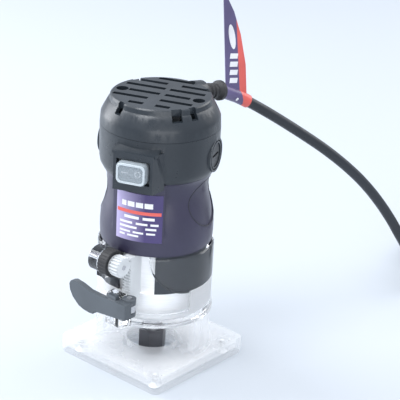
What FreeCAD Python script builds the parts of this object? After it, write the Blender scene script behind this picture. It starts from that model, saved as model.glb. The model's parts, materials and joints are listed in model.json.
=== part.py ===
import FreeCAD, Part
import math
import os
import Sketcher
from FreeCAD import Placement, Rotation, Vector

# A corded laminate trimmer: a motor in a round casing that slides in a clear guide base.
# Frame: +Z up, origin at the centre of the sole's underside, -Y is the front of the base
# (the side with the clamp lever and the depth wheel). Millimetres throughout.

doc = FreeCAD.newDocument("trimmer")
sheet = doc.addObject("Spreadsheet::Sheet", "Size")

SIZES = {
    # base
    "plate_side": 86.0,
    "plate_corner": 4.0,
    "plate_top": 11.7,
    "plate_skin": 4.0,
    "plate_wall": 3.0,
    "sole_thick": 3.0,
    "sole_hole": 16.0,
    "boss_reach": 33.0,
    "boss_radius": 5.0,
    "tube_outer": 37.5,
    "tube_bore": 32.55,
    "tube_top": 84.0,
    "band_low": 36.0,
    "band_high": 46.0,
    "split_x": 9.0,
    "split_gap": 1.6,
    "ear_thick": 2.6,
    # motor casing
    "motor_turn": 21.1,
    "nose_radius": 32.5,
    "nose_low": 38.0,
    "skirt_low": 57.8,
    "skirt_inner": 31.0,
    "housing_low": 85.2,
    "housing_radius": 36.5,
    "housing_top": 134.0,
    "waist_radius": 32.3,
    "panel_half": 28.0,
    "grip_height": 115.0,
    "grip_depth": 0.9,
    "upper_radius": 38.1,
    "seam_height": 162.3,
    "cover_top": 181.3,
    "cover_disc": 32.0,
    # switch
    "boss_front": 44.5,
    "boss_half": 13.0,
    "boss_root": 16.7,
    "boss_low": 131.5,
    "boss_high": 156.5,
    "switch_height": 144.5,
    # brushes and rotating parts
    "brush_height": 147.0,
    "spindle_radius": 4.0,
    "commutator_radius": 9.5,
    "rotor_radius": 16.0,
    "collet_bore": 3.0,
    "nut_low": 3.2,
    "nut_flats": 16.0,
    "nut_tall": 15.0,
    # depth adjustment
    "wheel_x": 2.6,
    "wheel_y": -44.5,
    "wheel_z": 80.5,
    "wheel_radius": 8.8,
    "wheel_thick": 7.0,
    "rack_pitch": 2.0,
    "pinion_teeth": 20,
    # clamp lever
    "lever_x": 18.0,
    "lever_y": -43.0,
    "clamp_z": 54.0,
    # cord
    "cord_diameter": 7.2,
    "coil_radius": 32.4,
}
for row, (alias, number) in enumerate(SIZES.items(), start=1):
    sheet.set(f"A{row}", alias)
    sheet.set(f"B{row}", str(number))
    sheet.setAlias(f"B{row}", alias)
doc.recompute()

parts = []


def value(expression):
    """The number that an expression over the sheet comes to."""
    result = sheet.evalExpression(str(expression).replace("Size.", ""))
    return float(getattr(result, "Value", result))


def bind(thing, prop, expression):
    """Drive one property of a document object from the sheet."""
    if isinstance(expression, str):
        thing.setExpression(prop, expression)
    else:
        setattr_path(thing, prop, expression)


def setattr_path(thing, prop, number):
    """Set a plain property, or one coordinate of the placement, to a number."""
    if prop.startswith("Placement.Base."):
        place = thing.Placement
        setattr(place.Base, prop[-1], number)
        thing.Placement = place
    else:
        setattr(thing, prop, number)


AXES = {
    "X": Rotation(Vector(0, 1, 0), 90),
    "Y": Rotation(Vector(1, 0, 0), -90),
    "Z": Rotation(),
}


def put(thing, at, axis="Z", spin=0):
    """Place a primitive: its own Z along the named axis, then spun about the world's Z."""
    thing.Placement = Placement(Vector(), Rotation(Vector(0, 0, 1), spin) * AXES[axis])
    for letter, expression in zip("xyz", at):
        bind(thing, f"Placement.Base.{letter}", expression)
    return thing


def cylinder(name, radius, height, at=(0, 0, 0), axis="Z", sweep=360, spin=0):
    thing = doc.addObject("Part::Cylinder", name)
    bind(thing, "Radius", radius)
    bind(thing, "Height", height)
    thing.Angle = sweep
    return put(thing, at, axis, spin)


def cone(name, low, high, height, at=(0, 0, 0), axis="Z"):
    thing = doc.addObject("Part::Cone", name)
    bind(thing, "Radius1", low)
    bind(thing, "Radius2", high)
    bind(thing, "Height", height)
    return put(thing, at, axis)


def box(name, size, at=(0, 0, 0), spin=0):
    """A box whose corner is at the given place."""
    thing = doc.addObject("Part::Box", name)
    for prop, expression in zip(("Length", "Width", "Height"), size):
        bind(thing, prop, expression)
    return put(thing, at, "Z", spin)


def hexagon(name, flats, height, at=(0, 0, 0), axis="Z"):
    thing = doc.addObject("Part::Prism", name)
    thing.Polygon = 6
    bind(thing, "Circumradius", f"({flats}) / sqrt(3)")
    bind(thing, "Height", height)
    return put(thing, at, axis)


def fuse(name, things):
    thing = doc.addObject("Part::MultiFuse", name)
    thing.Shapes = things
    thing.Refine = True
    return thing


def group(name, things):
    """Separate solids that share one node."""
    thing = doc.addObject("Part::Compound", name)
    thing.Links = things
    return thing


def cut(name, base, tools):
    tool = tools[0] if len(tools) == 1 else fuse(name + "_tools", tools)
    thing = doc.addObject("Part::Cut", name)
    thing.Base = base
    thing.Tool = tool
    return thing


def shared(name, first, second):
    """What two shapes have in common."""
    thing = doc.addObject("Part::Common", name)
    thing.Base = first
    thing.Tool = second
    return thing


def rounded(name, base, radius, chosen):
    """Fillet the edges of a shape that a test picks out."""
    doc.recompute()
    picked = [i for i, edge in enumerate(base.Shape.Edges, start=1) if chosen(edge)]
    thing = doc.addObject("Part::Fillet", name)
    thing.Base = base
    thing.Edges = [(i, radius, radius) for i in picked]
    return thing


def upright(edge):
    """True for a straight edge along Z."""
    ends = edge.Vertexes
    return len(ends) == 2 and math.hypot(ends[0].X - ends[1].X, ends[0].Y - ends[1].Y) < 1e-6


def sketch_on(body, plane, outline):
    """A closed outline, each corner held at its place by expressions over the sheet."""
    support = next(f for f in body.Origin.OriginFeatures if f.Role == plane)
    sketch = body.newObject("Sketcher::SketchObject", body.Name + "_outline")
    sketch.AttachmentSupport = [(support, "")]
    sketch.MapMode = "FlatFace"
    corners = [Vector(value(a), value(b), 0) for a, b in outline]
    count = len(corners)
    for i, corner in enumerate(corners):
        sketch.addGeometry(Part.LineSegment(corner, corners[(i + 1) % count]), False)
    for i in range(count):
        sketch.addConstraint(Sketcher.Constraint("Coincident", i, 2, (i + 1) % count, 1))
    for i, pair in enumerate(outline):
        for kind, expression, line in zip(("DistanceX", "DistanceY"), pair, (-2, -1)):
            number = value(expression)
            if abs(number) < 1e-9:
                sketch.addConstraint(Sketcher.Constraint("PointOnObject", i, 1, line))
                continue
            index = sketch.addConstraint(Sketcher.Constraint(kind, -1, 1, i, 1, number))
            if isinstance(expression, str):
                sketch.setExpression(f"Constraints[{index}]", expression)
    return sketch


def turned(name, outline):
    """A body turned about Z from an outline of radius and height."""
    body = doc.addObject("PartDesign::Body", name)
    sketch = sketch_on(body, "XZ_Plane", outline)
    feature = body.newObject("PartDesign::Revolution", name + "_turn")
    feature.Profile = sketch
    feature.ReferenceAxis = (sketch, ["V_Axis"])
    feature.Angle = 360
    return body


def padded(name, plane, outline, length):
    """A body padded from an outline, centred on its plane when the plane is upright."""
    body = doc.addObject("PartDesign::Body", name)
    sketch = sketch_on(body, plane, outline)
    feature = body.newObject("PartDesign::Pad", name + "_pad")
    feature.Profile = sketch
    bind(feature, "Length", length)
    feature.Midplane = plane != "XY_Plane"
    return body


def hand_over(thing, node, motor=False):
    """Name a finished sub-part, and turn the motor's own frame to where the clamp holds it."""
    thing.Label = node
    if motor:
        turn = Placement(Vector(), Rotation(Vector(0, 0, 1), value("Size.motor_turn")))
        thing.Placement = turn.multiply(thing.Placement)
    parts.append(thing)
    return thing


# ---- the clear guide base ---------------------------------------------------------------

def corner_places():
    reach = "Size.boss_reach"
    return [(f"{a} * {reach}", f"{b} * {reach}") for a in (-1, 1) for b in (-1, 1)]


def make_plate():
    """Flange of the base: a top skin with a wall round its edge and bosses for the sole."""
    side = "Size.plate_side"
    half = "-Size.plate_side / 2"
    block = box("plate_block", (side, side, "Size.plate_top - Size.sole_thick"),
                (half, half, "Size.sole_thick"))
    block = rounded("plate_rounded", block, SIZES["plate_corner"], upright)
    inner = "Size.plate_side - 2 * Size.plate_wall"
    start = "Size.plate_wall - Size.plate_side / 2"
    hollow = box("plate_hollow", (inner, inner, "Size.plate_top - Size.sole_thick - Size.plate_skin"),
                 (start, start, "Size.sole_thick"))
    keep = [cylinder(f"corner_boss{i}", "Size.boss_radius", 12, (x, y, 0))
            for i, (x, y) in enumerate(corner_places())]
    keep.append(cylinder("hole_collar", "Size.sole_hole + 4", 12))
    hollow = cut("plate_cavity", hollow, keep)
    return cut("plate", block, [hollow])


def make_tube():
    """Round guide for the motor, open at the chip windows and at the rack."""
    tube = turned("guide_tube", [
        ("Size.tube_bore", "Size.plate_top - 1"),
        ("Size.tube_outer + 2", "Size.plate_top - 1"),
        ("Size.tube_outer + 2", "Size.plate_top"),
        ("Size.tube_outer", "Size.plate_top + 2"),
        ("Size.tube_outer", "Size.band_low"),
        ("Size.tube_outer + 0.8", "Size.band_low + 0.8"),
        ("Size.tube_outer + 0.8", "Size.band_low + 3"),
        ("Size.tube_outer", "Size.band_low + 3.8"),
        ("Size.tube_outer", "Size.tube_top - 1"),
        ("Size.tube_outer - 1", "Size.tube_top"),
        ("Size.tube_bore", "Size.tube_top"),
    ])
    window_tall = "Size.band_low - Size.plate_top"
    windows = [
        cylinder("front_window", 60, window_tall, (0, 0, "Size.plate_top"), sweep=131, spin=-133),
        cylinder("rear_window", 60, window_tall, (0, 0, "Size.plate_top"), sweep=101, spin=62),
    ]
    # The rack opening faces 40 degrees to the right of the front. Its right edge is an arc.
    view = 40
    opening = box("rack_opening", (41.2, 40, "Size.tube_top - Size.band_high + 8"), spin=view)
    forward = Vector(math.sin(math.radians(view)), -math.cos(math.radians(view)), 0)
    right = Vector(math.cos(math.radians(view)), math.sin(math.radians(view)), 0)
    corner = forward * 52 - right * 18.2
    opening.Placement.Base = Vector(corner.x, corner.y, SIZES["band_high"])
    shield = doc.addObject("Part::Cylinder", "rack_opening_edge")
    shield.Radius = 26.6
    shield.Height = 60
    centre = right * 24
    shield.Placement = Placement(Vector(centre.x, centre.y, 85.5), Rotation(Vector(0, 0, 1), forward))
    opening = cut("rack_window", opening, [shield])
    wheel_slot = box("wheel_slot", ("Size.wheel_thick + 2.7", 20, 16.5),
                     ("Size.wheel_x - Size.wheel_thick / 2 - 0.8", -50, "Size.wheel_z - 10"))
    return cut("open_tube", tube, windows + [opening, wheel_slot])


def make_ears():
    """Two ears either side of the split, which the clamp bolt draws together."""
    ears = []
    low = "Size.band_low + 1"
    for name, start, wide in (("left_ear", "Size.split_x - Size.split_gap / 2 - 7", 7),
                              ("right_ear", "Size.split_x + Size.split_gap / 2",
                               "Size.ear_thick")):
        lug = box(name, (wide, 7.2, 23), (start, -46.6, low))
        lug = rounded(name + "_round", lug, 3, lambda e: e.Vertexes[0].Y < -46 and
                      e.Vertexes[1].Y < -46 and abs(e.Vertexes[0].Z - e.Vertexes[1].Z) < 1e-6)
        ears.append(lug)
        ears.append(box(name + "_root", (wide, 10, "Size.band_high - Size.band_low - 1"),
                        (start, -43, low)))
    return ears


def make_bracket():
    """One long round lug beside the wheel, in which the shaft turns."""
    start = "Size.wheel_x - Size.wheel_thick / 2 - 8.5"
    return [
        cylinder("lug", 8.2, 7.5, (start, "Size.wheel_y", "Size.wheel_z"), axis="X"),
        box("lug_web", (7.5, 14, 15), (start, "Size.wheel_y", "Size.wheel_z - 13")),
    ]


def make_base():
    solid = fuse("base_solid", [make_plate(), make_tube()] + make_ears() + make_bracket())
    tools = [
        cylinder("guide_bore", "Size.tube_bore", 90, (0, 0, "Size.plate_top")),
        cylinder("flange_hole", "Size.sole_hole + 1", 20),
        cylinder("housing_room", "Size.housing_radius + 0.4", 20, (0, 0, "Size.tube_top")),
        box("clamp_split", ("Size.split_gap", 24, 30),
            ("Size.split_x - Size.split_gap / 2", -52, "Size.band_low - 1")),
        cylinder("clamp_hole", 2.6, 30, (0, "Size.lever_y", "Size.clamp_z"), axis="X"),
        cylinder("shaft_hole", 1.55, 30, ("Size.wheel_x - 15", "Size.wheel_y", "Size.wheel_z"),
                 axis="X"),
    ]
    tools += [cylinder(f"corner_thread{i}", 1.6, 6, (x, y, "Size.sole_thick - 0.5"))
              for i, (x, y) in enumerate(corner_places())]
    whole = cut("base_whole", solid, tools)
    # One moulding, handed over in three plain bodies: the flange, the two pillars between the
    # windows, and the sleeve above them.
    levels = (("base_plate", 0, "Size.plate_top"), ("base_pillars", "Size.plate_top", "Size.band_low"),
              ("base_sleeve", "Size.band_low", 100))
    for name, low, high in levels:
        slab = box(name + "_slab", (120, 120, f"{high} - {low}"), (-60, -60, low))
        hand_over(shared(name, whole, slab), name)


def make_sole():
    half = "-Size.plate_side / 2"
    side = "Size.plate_side"
    plate = box("sole_block", (side, side, "Size.sole_thick"), (half, half, 0))
    plate = rounded("sole_rounded", plate, SIZES["plate_corner"], upright)
    tools = [cylinder("sole_centre", "Size.sole_hole", 10, (0, 0, -2))]
    for i, (x, y) in enumerate(corner_places()):
        tools.append(cylinder(f"sole_clear{i}", 2.1, 10, (x, y, -2)))
        tools.append(cone(f"sole_sink{i}", 4.3, 2.1, 2.2, (x, y, 0)))
    hand_over(cut("sole_plate", plate, tools), "sole_plate")
    screws = []
    for i, (x, y) in enumerate(corner_places()):
        head = cone(f"sole_head{i}", 3.9, 1.6, 2.2, (x, y, 0.3))
        shank = cylinder(f"sole_shank{i}", 1.6, 6, (x, y, 2.4))
        cross = box(f"sole_slot{i}", (6, 0.9, 0.8), (f"{x} - 3", f"{y} - 0.45", 0.3))
        screws.append(cut(f"sole_screw{i}", fuse(f"sole_screw_body{i}", [head, shank]), [cross]))
    hand_over(group("sole_screws", screws), "sole_screws")


# ---- clamp lever ------------------------------------------------------------------------

def make_clamp():
    """Cam lever on an upright pin: it pulls the bolt and squeezes the ears together."""
    blade = padded("lever_blade", "XZ_Plane", [
        (-26.9, 57.8), (-25.6, 60.2), (-22.6, 61.4), (-16.2, 60.6), (-8.8, 58.6), (0, 58.4),
        (22.6, 59.3), (22.6, 48.8), (7.8, 47.3), (-4.8, 45.9), (-5.4, 43.6), (-8.8, 43.3),
        (-14.0, 43.8), (-18.4, 45.2), (-23.6, 49.4), (-26.2, 53.6),
    ], 3.6)
    blade.Placement.Base = Vector(0, -49.6, 0)
    boss = cylinder("lever_boss", 4.4, 11.6, ("Size.lever_x", "Size.lever_y", 48.8))
    neck = box("lever_neck", (9, 6, 10.5), (13.6, -50, 48.8))
    ridge = box("lever_ridge", (7, 3.4, 3.5), (5.5, -49.8, 58))
    solid = fuse("lever_solid", [blade, boss, neck, ridge])
    solid = rounded("lever_soft", solid, 0.8, lambda e: upright(e) and e.Vertexes[0].Y < -51
                    and e.Vertexes[0].X > 20)
    tools = [
        cylinder("lever_pin_hole", 1.6, 30, ("Size.lever_x", "Size.lever_y", 40)),
        cylinder("lever_fork", 5.4, 5.2, ("Size.lever_x", "Size.lever_y", "Size.clamp_z - 2.6")),
    ]
    hand_over(cut("clamp_lever", solid, tools), "clamp_lever")
    hand_over(cylinder("lever_pin", 1.6, 12.8, ("Size.lever_x", "Size.lever_y", 48.2)), "lever_pin")

    eye = cylinder("bolt_eye", 4.2, 4.6, ("Size.lever_x", "Size.lever_y", "Size.clamp_z - 2.3"))
    shank = cylinder("bolt_shank", 2.5, "Size.lever_x - Size.split_x + 13.2",
                     ("Size.split_x - 13.2", "Size.lever_y", "Size.clamp_z"), axis="X")
    clear = cylinder("bolt_eye_hole", 1.65, 12,
                     ("Size.lever_x", "Size.lever_y", "Size.clamp_z - 6"))
    hand_over(cut("clamp_bolt", fuse("bolt_solid", [eye, shank]), [clear]), "clamp_bolt")
    nut = hexagon("nut_block", "8", 4, ("Size.split_x - 12.2", "Size.lever_y", "Size.clamp_z"), "X")
    nut_hole = cylinder("nut_hole", 2.5, 20, (-5, "Size.lever_y", "Size.clamp_z"), axis="X")
    hand_over(cut("clamp_nut", nut, [nut_hole]), "clamp_nut")
    face = "Size.split_x + Size.split_gap / 2 + Size.ear_thick"
    pad = box("washer_block", (1.0, 7.0, 9.0), (face, -46.5, "Size.clamp_z - 4.5"))
    pad_hole = cylinder("washer_hole", 2.6, 9, ("Size.split_x", "Size.lever_y", "Size.clamp_z"),
                        axis="X")
    hand_over(cut("clamp_washer", pad, [pad_hole]), "clamp_washer")


# ---- depth wheel, pinion and rack --------------------------------------------------------

def involute_outline(teeth, module, backlash):
    """Outline of a spur gear: involute flanks, one straight root between the teeth."""
    pitch = teeth * module / 2
    base = pitch * math.cos(math.radians(20))
    tip = pitch + 0.9 * module
    root = pitch - 1.2 * module
    phase = math.tan(math.radians(20)) - math.radians(20)
    half_tooth = math.pi / (2 * teeth) - backlash / (2 * pitch) + phase
    points = []
    for tooth in range(teeth):
        middle = 2 * math.pi * tooth / teeth
        flank = []
        for step in range(5):
            radius = base + (tip - base) * step / 4
            roll = math.sqrt((radius / base) ** 2 - 1)
            flank.append((radius, half_tooth - (roll - math.atan(roll))))
        start = [(root, half_tooth)] + flank
        for radius, angle in start:
            points.append((radius, middle - angle))
        for radius, angle in reversed(start):
            points.append((radius, middle + angle))
    return [Vector(r * math.cos(a), r * math.sin(a), 0) for r, a in points]


def make_depth_wheel():
    x0 = "Size.wheel_x - Size.wheel_thick / 2"
    axle = (x0, "Size.wheel_y", "Size.wheel_z")
    hub = cylinder("hub_block", "Size.wheel_radius - 2.6", "Size.wheel_thick", axle, axis="X")
    hub_hole = cylinder("hub_hole", 1.5, 20, ("Size.wheel_x - 10", "Size.wheel_y", "Size.wheel_z"),
                        axis="X")
    spokes = []
    for i in range(5):
        turn = 2 * math.pi * i / 5
        spokes.append(cylinder(f"hub_pocket{i}", 1.1, "Size.wheel_thick + 2",
                               (f"{x0} - 1", f"Size.wheel_y + {3.9 * math.cos(turn):.3f}",
                                f"Size.wheel_z + {3.9 * math.sin(turn):.3f}"), axis="X"))
    hand_over(cut("wheel_hub", hub, [hub_hole] + spokes), "wheel_hub")

    tyre = cylinder("tyre_block", "Size.wheel_radius", "Size.wheel_thick", axle, axis="X")
    notches = [cylinder("tyre_bore", "Size.wheel_radius - 2.6", "Size.wheel_thick + 4",
                        (f"{x0} - 2", "Size.wheel_y", "Size.wheel_z"), axis="X")]
    for i in range(24):
        turn = 2 * math.pi * i / 24
        reach = SIZES["wheel_radius"] + 0.15
        notches.append(cylinder(f"tyre_notch{i}", 0.5, "Size.wheel_thick + 4",
                                (f"{x0} - 2", f"Size.wheel_y + {reach * math.cos(turn):.3f}",
                                 f"Size.wheel_z + {reach * math.sin(turn):.3f}"), axis="X"))
    hand_over(cut("wheel_tyre", tyre, notches), "wheel_tyre")

    shaft = cylinder("pinion_shaft", 1.5, 24.4,
                     ("Size.wheel_x - 12.8", "Size.wheel_y", "Size.wheel_z"), axis="X")
    hand_over(shaft, "pinion_shaft")

    module = SIZES["rack_pitch"] / math.pi
    outline = involute_outline(SIZES["pinion_teeth"], module, 0.12)
    face = Part.Face(Part.makePolygon(outline + outline[:1]))
    gear = face.extrude(Vector(0, 0, 6.4)).cut(Part.makeCylinder(1.5, 6.4))
    pinion = doc.addObject("Part::Feature", "depth_pinion")
    pinion.Shape = gear
    # Local X, a tooth's middle, points at the rack (+Y); the gear's own axis lies along X.
    place = Rotation(Vector(0, 1, 0), Vector(0, 0, 1), Vector(1, 0, 0), "ZXY")
    pinion.Placement = Placement(Vector(value("Size.wheel_x") + 4.8, SIZES["wheel_y"], SIZES["wheel_z"]),
                                 place)
    hand_over(pinion, "depth_pinion")


def make_rack():
    """Rack bar on the nose casing; the pinion's tooth sits in a gap at the wheel's height."""
    module = SIZES["rack_pitch"] / math.pi
    pitch_radius = SIZES["pinion_teeth"] * module / 2
    pitch_line = SIZES["wheel_y"] + pitch_radius
    tip_line = pitch_line - 0.9 * module
    low = 50.0
    high = SIZES["housing_low"] - 0.4
    slope = math.tan(math.radians(20))
    outline = [(-20.0, low), (-20.0, high)]
    height = SIZES["wheel_z"] + 2 * SIZES["rack_pitch"]
    gaps = []
    while height - SIZES["rack_pitch"] / 2 > low:
        gaps.append(height)
        height -= SIZES["rack_pitch"]
    outline.append((tip_line, high))
    for gap in gaps:
        wide = SIZES["rack_pitch"] / 4 + 0.9 * module * slope
        narrow = SIZES["rack_pitch"] / 4 - 1.1 * module * slope
        depth = pitch_line + 1.1 * module
        if gap + wide < high:
            outline += [(tip_line, gap + wide), (depth, gap + narrow)]
            outline += [(depth, gap - narrow), (tip_line, gap - wide)]
    outline.append((tip_line, low))
    wall = Part.Face(Part.makePolygon([Vector(0, y, z) for y, z in outline + outline[:1]]))
    left = SIZES["wheel_x"] + 5.1
    bar = wall.extrude(Vector(5.8, 0, 0))
    bar.translate(Vector(left, 0, 0))
    bar = bar.cut(Part.makeCylinder(SIZES["skirt_inner"], 80, Vector(0, 0, 30)))
    below = Part.makeCylinder(SIZES["nose_radius"], SIZES["skirt_low"] - 30, Vector(0, 0, 30))
    rack = doc.addObject("Part::Feature", "depth_rack")
    rack.Shape = bar.cut(below)
    hand_over(rack, "depth_rack")


# ---- motor casing (its own front is -Y before it is turned in the clamp) ------------------

def make_nose():
    nose = turned("nose_block", [
        (9.5, "Size.nose_low"),
        ("Size.nose_radius - 3", "Size.nose_low"),
        ("Size.nose_radius", "Size.nose_low + 3"),
        ("Size.nose_radius", "Size.skirt_low"),
        ("Size.skirt_inner", "Size.skirt_low"),
        ("Size.skirt_inner", "Size.housing_low + 3"),
        ("Size.skirt_inner - 2.5", "Size.housing_low + 3"),
        ("Size.skirt_inner - 2.5", "Size.nose_low + 4"),
        (14, "Size.nose_low + 4"),
        (14, "Size.nose_low + 12"),
        (11, "Size.nose_low + 12"),
        (11, "Size.nose_low + 5"),
        (9.5, "Size.nose_low + 5"),
    ])
    vents = []
    for i in range(4):
        vents.append(cylinder(f"nose_vent{i}", 2.6, 12,
                              (f"{20.5 * math.cos(math.radians(45 + 90 * i)):.3f}",
                               f"{20.5 * math.sin(math.radians(45 + 90 * i)):.3f}",
                               "Size.nose_low - 4")))
    hand_over(cut("nose_casing", nose, vents), "nose_casing", motor=True)

    skirt = turned("skirt_ring", [
        ("Size.skirt_inner", "Size.skirt_low"),
        ("Size.nose_radius", "Size.skirt_low"),
        ("Size.nose_radius", "Size.housing_low - 0.2"),
        ("Size.skirt_inner", "Size.housing_low - 0.2"),
    ])
    window = cylinder("skirt_window", 60, 60, (0, 0, "Size.skirt_low - 5"), sweep=42, spin=-111)
    hand_over(cut("nose_skirt", skirt, [window]), "nose_skirt", motor=True)


WAIST = (
    # height above the bottom of the housing, radius
    (0, "Size.housing_radius - 0.8"), (1.5, "Size.housing_radius - 0.3"), (6, "Size.housing_radius"),
    (12, "Size.housing_radius"), (18, "Size.housing_radius - 0.4"), (23, "Size.housing_radius - 1.2"),
    (28, "Size.housing_radius - 2.3"), (32, "Size.housing_radius - 3.3"),
    (35.5, "Size.waist_radius + 0.25"), (38.8, "Size.waist_radius"),
    (42, "Size.waist_radius + 0.3"), (45, "Size.waist_radius + 1.0"),
    (47.2, "Size.waist_radius + 2.0"), ("Size.housing_top - Size.housing_low", "Size.waist_radius + 3.1"),
)


def waist_outline(less=0.0):
    """The housing's outer line, bottom to top, or a line a little inside it."""
    return [(f"{radius} - {less}", f"Size.housing_low + ({height})") for height, radius in WAIST]


def make_motor_housing():
    """Lower shell with a waist; a panel under the switch and a grip recess on each side."""
    shell = turned("housing_shell", [("Size.skirt_inner", "Size.housing_low")] + waist_outline() + [
        ("Size.waist_radius - 0.9", "Size.housing_top"),
        ("Size.waist_radius - 0.9", "Size.housing_top - 1"),
        (28.6, "Size.housing_top - 1"),
        (28.6, "Size.housing_low + 3"),
        ("Size.skirt_inner", "Size.housing_low + 3"),
    ])
    tall = "Size.housing_top - 92"
    panel = cylinder("panel_block", "Size.housing_radius", tall, (0, 0, 92),
                     sweep=2 * SIZES["panel_half"], spin=-90 - SIZES["panel_half"])
    panel = cut("front_panel", panel, [cylinder("panel_back", "Size.waist_radius - 0.9", 60,
                                                 (0, 0, 85))])
    core = turned("grip_core", [(0, "Size.housing_low")] + waist_outline(SIZES["grip_depth"]) +
                  [(0, "Size.housing_top")])
    grips = []
    for side in (-1, 1):
        edge = Part.Ellipse(Vector(0, 0, 0), 18.5, 15.5).toShape()
        oval = doc.addObject("Part::Feature", f"grip_oval{side + 1}")
        oval.Shape = Part.Face(Part.Wire([edge])).extrude(Vector(0, 0, 20))
        # Long axis along Y, short axis up, pushed outwards along X.
        oval.Placement = Placement(Vector(side * 22, 0, SIZES["grip_height"]),
                                   Rotation(Vector(0, 1, 0), Vector(0, 0, 1), Vector(side, 0, 0), "ZXY"))
        grips.append(cut(f"grip{side + 1}", oval, [core]))
    hand_over(cut("motor_housing", fuse("housing_solid", [shell, panel]), grips),
              "motor_housing", motor=True)

    plate = cylinder("label_block", "Size.housing_radius + 0.4", 32.2, (0, 0, 95.3), sweep=48.7,
                     spin=-112.2)
    plate = cut("label_plate", plate, [cylinder("label_back", "Size.housing_radius", 60,
                                                (0, 0, 80))])
    hand_over(plate, "label_plate", motor=True)


def make_switch_housing():
    shell = turned("upper_shell", [
        ("Size.waist_radius - 1.0", "Size.housing_top - 0.9"),
        ("Size.waist_radius - 1.0", "Size.housing_top + 0.2"),
        ("Size.waist_radius + 3.2", "Size.housing_top + 0.2"),
        ("Size.housing_radius - 0.2", "Size.housing_top + 1.6"),
        ("Size.housing_radius + 0.8", "Size.housing_top + 3.6"),
        ("Size.upper_radius - 0.3", "Size.housing_top + 6.5"),
        ("Size.upper_radius", "Size.housing_top + 12"),
        ("Size.upper_radius", "Size.seam_height"),
        ("Size.upper_radius - 3", "Size.seam_height"),
        ("Size.upper_radius - 3.2", "Size.housing_top + 6"),
        ("Size.waist_radius - 3.2", "Size.housing_top - 0.9"),
    ])
    boss = padded("switch_boss", "XY_Plane", [
        ("-Size.boss_half", "-Size.boss_front"), ("Size.boss_half", "-Size.boss_front"),
        ("Size.boss_root", -33.5), ("-Size.boss_root", -33.5),
    ], "Size.boss_high - Size.boss_low")
    boss.Placement.Base = Vector(0, 0, SIZES["boss_low"])
    ledge = padded("boss_ledge", "YZ_Plane", [
        (-43.0, "Size.boss_high"), (-35.0, "Size.boss_high + 2"), (-35.0, "Size.boss_high - 2"),
        (-43.0, "Size.boss_high - 2"),
    ], 29)
    rings = []
    for side in (-1, 1):
        rings.append(cylinder(f"cap_ring{side + 1}", 11, 5, (f"{side} * 35.5 - 2.5", 0,
                                                             "Size.brush_height"), axis="X"))
    raised = cut("raised_outside", fuse("raised_solid", [boss, ledge] + rings), [
        cylinder("boss_hollow", "Size.upper_radius - 3.2", 30, (0, 0, "Size.housing_top + 0.2")),
        cylinder("boss_under", "Size.housing_radius + 0.05", 4.1, (0, 0, "Size.housing_top - 3.9")),
    ])
    solid = fuse("switch_housing_solid", [shell, raised])
    tools = [
        box("switch_recess", (22, 6, 15.4), (-11, "-Size.boss_front - 2", "Size.switch_height - 7.7")),
        box("switch_cutout", (16.4, 14, 12.4), (-8.2, -44, "Size.switch_height - 6.2")),
    ]
    for side in (-1, 1):
        groove = cylinder(f"ring_groove{side + 1}", 9.6, 1.0, (f"{side} * 37.6 - 0.5", 0,
                                                              "Size.brush_height"), axis="X")
        island = cylinder(f"ring_island{side + 1}", 8.7, 3, (f"{side} * 37.6 - 1.5", 0,
                                                            "Size.brush_height"), axis="X")
        tools.append(cut(f"cap_groove{side + 1}", groove, [island]))
    for side in (-1, 1):
        tools.append(cylinder(f"cap_hole{side + 1}", 7.7, 20,
                              (f"{side * 36} - 10", 0, "Size.brush_height"), axis="X"))
    hand_over(cut("switch_housing", solid, tools), "switch_housing", motor=True)


VENTS = (
    # across: from, to, depth position; each slot runs along the motor's X
    (-23.0, -3.0, 18.5), (6.5, 25.0, 18.5),
    (-27.0, -0.8, 9.0), (2.2, 25.5, 9.0),
    (-21.0, -0.6, -1.6), (3.0, 19.5, -1.6),
    (-27.6, -4.6, -12.0), (3.6, 24.6, -12.0),
    (-13.0, -3.4, -22.5), (4.6, 14.0, -22.5),
    (-12.0, 12.0, 27.0),
)


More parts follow.
